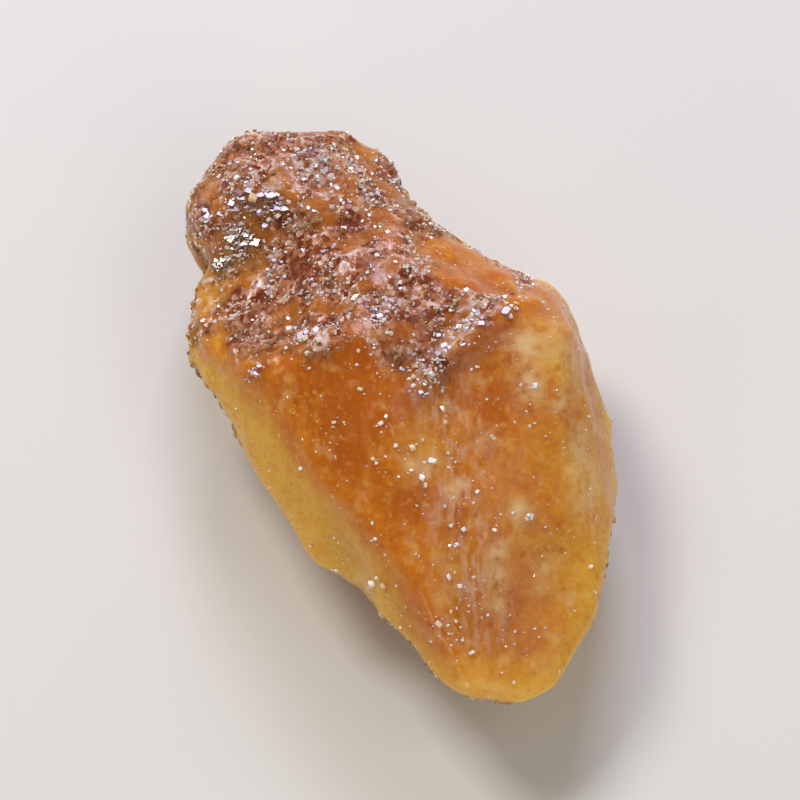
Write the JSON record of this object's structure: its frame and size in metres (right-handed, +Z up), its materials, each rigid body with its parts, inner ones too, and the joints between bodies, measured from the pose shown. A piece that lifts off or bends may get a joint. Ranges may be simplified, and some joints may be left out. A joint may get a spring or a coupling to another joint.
{
  "type": "rock sugar",
  "caption": "Broken chunk of brown rock sugar with smooth amber fractures in front, a coarse crystal crust over its back and a flat break that it rests on.",
  "frame": {"origin": "middle of the bounding box's base, on the surface that the chunk rests on", "axes": "+Z up; +Y along the chunk's length from its blunt tip to the knob on its back; +X to its right seen from the tip"},
  "size_m": [0.026, 0.0366, 0.0154],
  "materials": {
    "rock_sugar": "amber, translucent, waxy gloss on the fractures and frosted on the crust"
  },
  "bodies": {
    "root": {"rock_sugar": "rock_sugar"}
  },
  "joints": []
}
